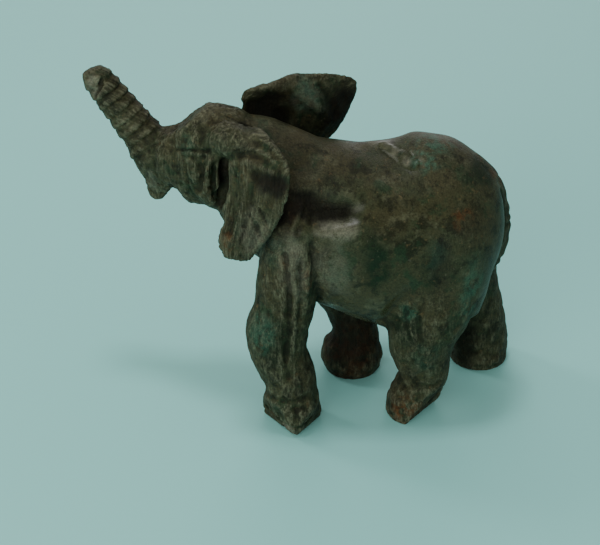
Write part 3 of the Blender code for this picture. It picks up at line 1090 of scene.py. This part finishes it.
@dataclass(frozen=True)
class Camera:
    """The camera at the photograph's viewing angle.

    Attributes:
        target: The place it looks at, in the figure's frame.
        azimuth: The turn about z, in degrees: 0 looks along +Y.
        elevation: The angle above the horizon, in degrees.
        distance: From the target, in per cent.
        lens: The focal length, in millimetres.
        sensor: The width of the sensor, in millimetres.
        nearest: The distance where it begins to see, in metres.
    """

    target: Place = (1.25, 0.0, 47.83)
    azimuth: float = -2.0
    elevation: float = 31.0
    distance: float = 507.8
    lens: float = 90.0
    sensor: float = 36.0
    nearest: float = 0.01

    def place(self) -> None:
        """Makes the camera and the scene's use of it."""
        turn, rise = math.radians(self.azimuth), math.radians(self.elevation)
        level = math.cos(rise)
        back = Vector((math.sin(turn) * level, -math.cos(turn) * level, math.sin(rise)))
        target = Vector(FIGURE.outward(np.array(self.target)))
        camera = bpy.data.objects.new("camera", bpy.data.cameras.new("camera"))
        bpy.context.scene.collection.objects.link(camera)
        camera.data.lens = self.lens
        camera.data.sensor_width = self.sensor
        camera.data.clip_start = self.nearest
        camera.location = target + back * self.distance * FIGURE.per_cent
        camera.rotation_mode = "QUATERNION"
        camera.rotation_quaternion = back.to_track_quat("Z", "Y")
        bpy.context.scene.camera = camera


@dataclass(frozen=True)
class SoftLight:
    """A square area light that looks at the figure's middle.

    Attributes:
        name: Its name.
        place: Where it hangs, in metres.
        side: The length of its side, in metres.
        power: Its power, in watts.
        colour: The colour of its light.
        target: The place it looks at, in metres.
    """

    name: str
    place: Place
    side: float
    power: float
    colour: Place = (1.0, 1.0, 1.0)
    target: Place = (0.0, 0.0, 0.04)

    def hang(self) -> None:
        """Makes the light and turns it to the figure."""
        lamp = bpy.data.lights.new(self.name, "AREA")
        lamp.size = self.side
        lamp.energy = self.power
        lamp.color = self.colour
        light = bpy.data.objects.new(self.name, lamp)
        bpy.context.scene.collection.objects.link(light)
        light.location = self.place
        aim = Vector(self.target) - Vector(self.place)
        light.rotation_mode = "QUATERNION"
        light.rotation_quaternion = aim.to_track_quat("-Z", "Y")


@dataclass(frozen=True)
class Studio:
    """A plain pale floor, soft lights and an even warm surround.

    Attributes:
        floor_side: The floor's side, in metres.
        floor_colour: The floor's colour.
        floor_roughness: The floor's roughness.
        surround: The colour of the light from all round.
        surround_strength: Its strength.
        lights: The soft lights.
    """

    floor_side: float = 8.0
    floor_colour: Colour = (0.31, 0.78, 0.75, 1.0)
    floor_roughness: float = 0.7
    surround: Colour = (1.00, 0.97, 0.91, 1.0)
    surround_strength: float = 0.42
    lights: tuple[SoftLight, ...] = (
        SoftLight("ceiling", (-0.06, 0.0, 0.80), 0.12, 1.5),
        SoftLight("window", (-0.70, 0.40, 0.80), 0.18, 1.7, (1.0, 0.98, 0.95)),
        SoftLight("room", (-0.55, -0.95, 0.30), 0.80, 8.6, (1.0, 0.97, 0.92)),
        SoftLight("far_wall", (0.10, 1.10, 0.30), 0.80, 3.5, (1.0, 0.98, 0.95)),
    )

    def set_up(self) -> None:
        """Makes the floor, the lights and the surround."""
        bpy.ops.mesh.primitive_plane_add(size=self.floor_side)
        floor = bpy.context.object
        floor.name = "floor"
        paint = bpy.data.materials.new("floor_paint")
        paint.use_nodes = True
        shader = paint.node_tree.nodes["Principled BSDF"]
        shader.inputs["Base Color"].default_value = self.floor_colour
        shader.inputs["Roughness"].default_value = self.floor_roughness
        floor.data.materials.append(paint)
        for light in self.lights:
            light.hang()
        world = bpy.data.worlds.new("surround")
        world.use_nodes = True
        background = world.node_tree.nodes["Background"]
        background.inputs["Color"].default_value = self.surround
        background.inputs["Strength"].default_value = self.surround_strength
        bpy.context.scene.world = world


@dataclass
class NodeBench:
    """Places and joins the shader nodes of a material or a group.

    Attributes:
        tree: The node tree that is worked on.
    """

    tree: bpy.types.NodeTree

    def add(self, kind: str, **settings: object) -> bpy.types.Node:
        """Adds a node of a kind and gives its settings their values."""
        node = self.tree.nodes.new(kind)
        for name, value in settings.items():
            setattr(node, name, value)
        return node

    def feed(self, socket: Socket, value: Input) -> None:
        """Joins an output to a socket, or sets the socket's own value."""
        if isinstance(value, Socket):
            self.tree.links.new(value, socket)
        else:
            socket.default_value = value

    def work_out(self, operation: str, *values: Input) -> Socket:
        """The result of a Math node's operation on the values, held between 0 and 1."""
        node = self.add("ShaderNodeMath", operation=operation, use_clamp=True)
        for socket, value in zip(node.inputs, values):
            self.feed(socket, value)
        return node.outputs["Value"]

    def times(self, first: Input, *others: Input) -> Input:
        """The first value times each of the others in turn, held between 0 and 1."""
        for other in others:
            first = self.work_out("MULTIPLY", first, other)
        return first

    def ramp(self, value: Input, low: Input, high: Input) -> Socket:
        """A value that rises smoothly from 0 at low to 1 at high."""
        return self.map_range("SMOOTHSTEP", value, low, high, 0.0, 1.0)

    def spread(self, value: Input, start: float, end: float) -> Socket:
        """A value that runs evenly from start to end while the input runs from 0 to 1."""
        return self.map_range("LINEAR", value, 0.0, 1.0, start, end)

    def map_range(self, curve: str, *values: Input) -> Socket:
        """The result of a Map Range node on a value, its low and high, and the new ones."""
        node = self.add("ShaderNodeMapRange", interpolation_type=curve)
        names = ("Value", "From Min", "From Max", "To Min", "To Max")
        for name, value in zip(names, values):
            self.feed(node.inputs[name], value)
        return node.outputs["Result"]

    def blend(self, share: Input, first: Input, second: Input, mode: str = "MIX") -> Socket:
        """The first colour with a share of the second laid over it."""
        node = self.add("ShaderNodeMix", data_type="RGBA", blend_type=mode)
        colours = [socket for socket in node.inputs if socket.type == "RGBA"]
        self.feed(node.inputs[0], share)
        self.feed(colours[0], first)
        self.feed(colours[1], second)
        return next(socket for socket in node.outputs if socket.type == "RGBA")

    def mask(self, mask: Mask) -> Socket:
        """The values of a painted mask."""
        return self.add("ShaderNodeAttribute", attribute_name=mask.value).outputs["Fac"]

    def patches(self, group: bpy.types.NodeTree, **values: Input) -> Socket:
        """The mask of a group of ragged patches whose inputs take the named values."""
        node = self.add("ShaderNodeGroup", node_tree=group)
        for name, value in values.items():
            self.feed(node.inputs[name], value)
        return node.outputs["Mask"]


def patch_group() -> bpy.types.NodeTree:
    """Makes the group of ragged patches that the stone's colours and bumps share.

    Returns:
        A group with the inputs Vector, Size, Pattern, Low and High, and the output Mask:
        layered noise with features of the Size, risen from 0 at Low to 1 at High.
    """
    group = bpy.data.node_groups.new("ragged_patches", "ShaderNodeTree")
    group.interface.new_socket("Mask", in_out="OUTPUT", socket_type="NodeSocketFloat")
    group.interface.new_socket("Vector", in_out="INPUT", socket_type="NodeSocketVector")
    for name in ("Size", "Pattern", "Low", "High"):
        group.interface.new_socket(name, in_out="INPUT", socket_type="NodeSocketFloat")
    bench = NodeBench(group)
    entry, way_out = bench.add("NodeGroupInput"), bench.add("NodeGroupOutput")
    inverse = bench.add("ShaderNodeMath", operation="DIVIDE")
    inverse.inputs[0].default_value = 1.0
    bench.feed(inverse.inputs[1], entry.outputs["Size"])
    noise = bench.add("ShaderNodeTexNoise", noise_dimensions="4D")
    bench.feed(noise.inputs["Vector"], entry.outputs["Vector"])
    bench.feed(noise.inputs["Scale"], inverse.outputs["Value"])
    bench.feed(noise.inputs["W"], entry.outputs["Pattern"])
    noise.inputs["Detail"].default_value = 5.0
    noise.inputs["Roughness"].default_value = 0.62
    noise.inputs["Distortion"].default_value = 0.3
    low, high = entry.outputs["Low"], entry.outputs["High"]
    bench.feed(way_out.inputs["Mask"], bench.ramp(noise.outputs["Fac"], low, high))
    return group


@dataclass(frozen=True)
class Tint:
    """A colour that lies over the stone in ragged patches.

    Attributes:
        colour: The colour.
        size: The size of the patches, in millimetres.
        low: The noise where a patch begins: a higher one leaves fewer patches.
        high: The noise where a patch is full.
        strength: How strongly the colour covers.
        mask: The painted mask that it keeps to, or none for the whole stone.
    """

    colour: Colour
    size: float
    low: float
    high: float
    strength: float
    mask: Mask | None = None


@dataclass(frozen=True)
class StoneFinish:
    """Green and brown mottled stone, polished on the body and dull where it is tooled.

    Attributes:
        ground: The colour under all the tints.
        tints: The colours over it, in the order that they are laid.
        dust: The colour that clings to rough ridges.
        groove_shade: The near-black colour of the painted shade in grooves.
        speckle: The size of the fine grain, in millimetres.
        gloss: The roughness of the polished stone, from its brightest to its dullest.
        dull: The roughness of the tooled stone, from its smoothest to its dullest.
        shine: The specular level.
        bump: The height of the fine bumps, in metres.
        mark: The size of the fine tool marks, in steps of their own coordinates.
        smear: The size of the smears in the polish, in millimetres.
        pit: The size of the pits, in millimetres.
        pit_share: How high a pit counts beside a tool mark.
        bump_share: The share of the bumps' height that is used.
        bumpiness: How strong the bumps are on polished and on tooled stone.
        bump_strength: How strongly the bumps turn the light.
        ridges: The relief where dust begins to cling and where it is full.
        dusted: How fully the dust covers.
        hollows: The relief where the painted shade in grooves begins and where it is full.
        groove_shading: How fully the painted shade covers the grooves.
        mark_shades: The darkest and the lightest of the tool marks.
        grain_shades: The darkest and the lightest of the fine grain.
    """

    ground: Colour = (0.040, 0.039, 0.018, 1.0)
    tints: tuple[Tint, ...] = (
        Tint((0.031, 0.040, 0.019, 1.0), 16.0, 0.42, 0.60, 0.9),
        Tint((0.054, 0.048, 0.022, 1.0), 9.0, 0.50, 0.66, 0.5),
        Tint((0.076, 0.080, 0.045, 1.0), 5.0, 0.52, 0.68, 0.75),
        Tint((0.010, 0.012, 0.005, 1.0), 4.5, 0.50, 0.62, 0.8),
        Tint((0.014, 0.034, 0.015, 1.0), 7.0, 0.54, 0.64, 0.7),
        Tint((0.005, 0.016, 0.006, 1.0), 4.0, 0.30, 0.48, 0.92, Mask.GREEN),
        Tint((0.033, 0.088, 0.056, 1.0), 2.6, 0.38, 0.56, 0.85, Mask.TEAL),
        Tint((0.090, 0.036, 0.011, 1.0), 2.2, 0.42, 0.60, 0.8, Mask.RUST),
        Tint((0.120, 0.085, 0.038, 1.0), 1.5, 0.60, 0.70, 0.5),
        Tint((0.008, 0.009, 0.005, 1.0), 1.3, 0.54, 0.66, 0.55),
        Tint((0.130, 0.125, 0.085, 1.0), 0.9, 0.60, 0.72, 0.45),
        # Near-black laid over the dark mask: dark stone, and painted shade in hollows and on shaded
        # parts.
        Tint((0.005, 0.004, 0.002, 1.0), 5.0, 0.22, 0.42, 0.88, Mask.DARK_STONE_AND_SHADE),
        # Pale laid over the pale mask: pale stone, and painted highlights.
        Tint((0.170, 0.170, 0.125, 1.0), 3.0, 0.30, 0.55, 0.8, Mask.PALE_STONE_AND_HIGHLIGHT),
    )
    dust: Colour = (0.112, 0.116, 0.074, 1.0)
    groove_shade: Colour = (0.005, 0.005, 0.002, 1.0)
    speckle: float = 0.45
    gloss: tuple[float, float] = (0.20, 0.36)
    dull: tuple[float, float] = (0.60, 0.80)
    shine: float = 0.15
    bump: float = 0.00022
    mark: float = 0.7
    smear: float = 5.0
    pit: float = 0.9
    pit_share: float = 0.5
    bump_share: float = 0.6
    bumpiness: tuple[float, float] = (0.05, 1.0)
    bump_strength: float = 0.9
    ridges: tuple[float, float] = (-0.1, 0.9)
    dusted: float = 0.7
    hollows: tuple[float, float] = (-0.1, -1.0)
    groove_shading: float = 0.6
    mark_shades: tuple[float, float] = (0.72, 1.12)
    grain_shades: tuple[float, float] = (0.70, 1.30)

    def make(self) -> bpy.types.Material:
        """Makes the stone's material.

        Returns:
            A material whose colour, roughness and fine bumps all follow the painted masks.
        """
        material = bpy.data.materials.new("verdite")
        material.use_nodes = True
        bench = NodeBench(material.node_tree)
        shader = material.node_tree.nodes["Principled BSDF"]
        shader.inputs["Specular IOR Level"].default_value = self.shine
        to_millimetres = bench.add("ShaderNodeVectorMath", operation="SCALE")
        bench.feed(to_millimetres.inputs[0], bench.add("ShaderNodeTexCoord").outputs["Object"])
        to_millimetres.inputs["Scale"].default_value = 1000.0
        grain = to_millimetres.outputs["Vector"]
        lay = bench.add("ShaderNodeAttribute", attribute_name=LAY).outputs["Vector"]
        group = patch_group()
        polish = bench.mask(Mask.POLISH)
        rough = bench.work_out("SUBTRACT", 1.0, polish)
        fine = bench.patches(group, Vector=grain, Size=self.speckle, Pattern=31.0, Low=0.3, High=0.7)
        marks = bench.patches(group, Vector=lay, Size=self.mark, Pattern=32.0, Low=0.34, High=0.66)

        colour = self.colour(bench, group, grain, rough, fine, marks)
        bench.feed(shader.inputs["Base Color"], colour)

        smears = bench.patches(
            group, Vector=grain, Size=self.smear, Pattern=33.0, Low=0.35, High=0.65
        )
        dull = bench.times(rough, bench.spread(fine, *self.dull))
        gloss = bench.times(polish, bench.spread(smears, *self.gloss))
        bench.feed(shader.inputs["Roughness"], bench.work_out("ADD", dull, gloss))

        pits = bench.patches(group, Vector=grain, Size=self.pit, Pattern=34.0, Low=0.3, High=0.6)
        height = bench.work_out("ADD", bench.times(pits, self.pit_share), marks)
        height = bench.times(height, self.bump_share, bench.spread(rough, *self.bumpiness))
        bump = bench.add("ShaderNodeBump")
        bump.inputs["Strength"].default_value = self.bump_strength
        bump.inputs["Distance"].default_value = self.bump
        bench.feed(bump.inputs["Height"], height)
        bench.feed(shader.inputs["Normal"], bump.outputs["Normal"])
        return material

    def colour(
        self, bench: NodeBench, group: bpy.types.NodeTree, grain: Socket,
        rough: Socket, fine: Socket, marks: Socket,
    ) -> Socket:
        """Lays the tints over the ground, then dust on ridges, painted shade in grooves and speckle.

        Args:
            bench: The bench of the stone's material.
            group: The group of ragged patches.
            grain: The place on the stone, in millimetres.
            rough: The mask of the tooled stone.
            fine: The mask of the fine grain.
            marks: The mask of the fine tool marks.

        Returns:
            The stone's colour.
        """
        relief = bench.mask(Mask.RELIEF)
        colour: Input = self.ground
        for pattern, tint in enumerate(self.tints):
            share = bench.patches(
                group, Vector=grain, Size=tint.size, Pattern=float(pattern),
                Low=tint.low, High=tint.high,
            )
            share = bench.times(share, tint.strength)
            if tint.mask:
                share = bench.times(share, bench.mask(tint.mask))
            colour = bench.blend(share, colour, tint.colour)
        # No dust where the dark stone and the painted shade lie.
        off_dark_and_shade = bench.work_out("SUBTRACT", 1.0, bench.mask(Mask.DARK_STONE_AND_SHADE))
        ridge = bench.times(bench.ramp(relief, *self.ridges), rough, marks, off_dark_and_shade, self.dusted)
        colour = bench.blend(ridge, colour, self.dust)
        # Painted shade: near-black laid in the grooves and hollows of the relief.
        hollow = bench.times(bench.ramp(relief, *self.hollows), self.groove_shading)
        colour = bench.blend(hollow, colour, self.groove_shade)
        lines = bench.spread(marks, *self.mark_shades)
        colour = bench.blend(rough, colour, bench.blend(1.0, colour, lines, "MULTIPLY"))
        return bench.blend(1.0, colour, bench.spread(fine, *self.grain_shades), "MULTIPLY")


def main() -> None:
    """Builds the carving, dresses it and sets it in the studio."""
    logging.basicConfig(level=logging.INFO, format="%(name)s: %(message)s")
    Camera().place()
    Studio().set_up()
    carving = Carving()
    piece = carving.build()
    piece.data.materials.append(StoneFinish().make())
    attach(piece, "root")
    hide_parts(carving.node)


if __name__ == "__main__":
    main()
